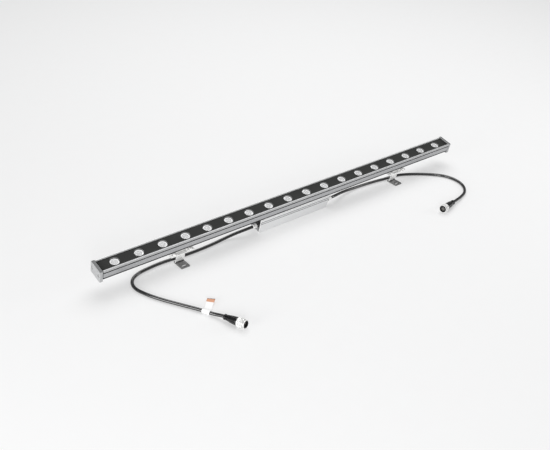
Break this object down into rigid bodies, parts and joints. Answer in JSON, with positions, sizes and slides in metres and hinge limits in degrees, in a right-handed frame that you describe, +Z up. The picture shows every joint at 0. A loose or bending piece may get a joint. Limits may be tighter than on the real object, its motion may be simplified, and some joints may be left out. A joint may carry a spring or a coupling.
{
  "type": "led strip batten",
  "caption": "Long slim aluminium light bar with a row of domed lenses, a driver box beneath, two tilting clamp feet and a lead with a round connector at each side.",
  "frame": {"origin": "middle of the bar and feet on the surface they stand on, Z = 0", "axes": "+X along the bar towards its right end, +Y to the back, +Z up; the lenses lean 12 degrees towards -Y"},
  "size_m": [1, 0.2892, 0.0661],
  "materials": {
    "aluminium": "satin anodised",
    "cap": "satin grey",
    "steel": "fine brushed",
    "cover": "satin grey",
    "black_plastic": "matte",
    "lens": "clear moulded",
    "board": "white solder resist",
    "seal": "matte",
    "potting": "cast resin",
    "lead": "smooth jacket",
    "nickel": "bright nickel plated",
    "paper": "printed label film"
  },
  "bodies": {
    "bar": {"housing_extrusion": "aluminium", "end_cap_left": "cap", "end_cap_right": "cap", "end_gasket_left": "seal", "end_gasket_right": "seal", "end_screw_left_front": "steel", "end_screw_left_rear": "steel", "end_screw_right_front": "steel", "end_screw_right_rear": "steel", "lens_mask": "black_plastic", "driver_end_left": "black_plastic", "driver_end_right": "black_plastic", "plug_insert": "black_plastic", "socket_insert": "black_plastic", "lens_01": "lens", "lens_02": "lens", "lens_03": "lens", "lens_04": "lens", "lens_05": "lens", "lens_06": "lens", "lens_07": "lens", "lens_08": "lens", "lens_09": "lens", "lens_10": "lens", "lens_11": "lens", "lens_12": "lens", "lens_13": "lens", "lens_14": "lens", "lens_15": "lens", "lens_16": "lens", "lens_17": "lens", "lens_18": "lens", "led_board": "board", "driver_cover": "cover", "driver_block": "potting", "gland_body_left": "nickel", "gland_body_right": "nickel", "gland_nut_left": "nickel", "gland_nut_right": "nickel", "socket_ferrule": "nickel", "lead_left": "lead", "lead_right": "lead", "plug_moulding": "lead", "socket_moulding": "lead", "label_tag": "paper"},
    "left_clamp": {"clamp_plate_left": "steel", "clamp_jaw_left": "steel", "clamp_screw_left_outer": "steel", "clamp_screw_left_inner": "steel", "pivot_pin_left": "steel"},
    "right_clamp": {"clamp_plate_right": "steel", "clamp_jaw_right": "steel", "clamp_screw_right_outer": "steel", "clamp_screw_right_inner": "steel", "pivot_pin_right": "steel"},
    "left_foot": {"foot_left": "steel"},
    "right_foot": {"foot_right": "steel"},
    "coupling_nut": {"plug_nut": "nickel"}
  },
  "joints": [
    {"name": "left_clamp_slide", "type": "slide", "parent": "bar", "child": "left_clamp", "axis": [1, 0, 0], "range_m": [-0.06, 0.15]},
    {"name": "right_clamp_slide", "type": "slide", "parent": "bar", "child": "right_clamp", "axis": [1, 0, 0], "range_m": [-0.15, 0.008]},
    {"name": "left_foot_hinge", "type": "hinge", "parent": "left_clamp", "child": "left_foot", "pos_m": [-0.314, -0.00762, 0.02711], "axis": [-1, 0, 0], "range_deg": [0, 90]},
    {"name": "right_foot_hinge", "type": "hinge", "parent": "right_clamp", "child": "right_foot", "pos_m": [0.31, -0.00762, 0.02711], "axis": [-1, 0, 0], "range_deg": [0, 90]},
    {"name": "coupling_nut_turn", "type": "hinge", "parent": "bar", "child": "coupling_nut", "pos_m": [-0.3482, -0.2136, 0.00848], "axis": [0.3496, -0.9354, 0.0523], "continuous": true}
  ]
}
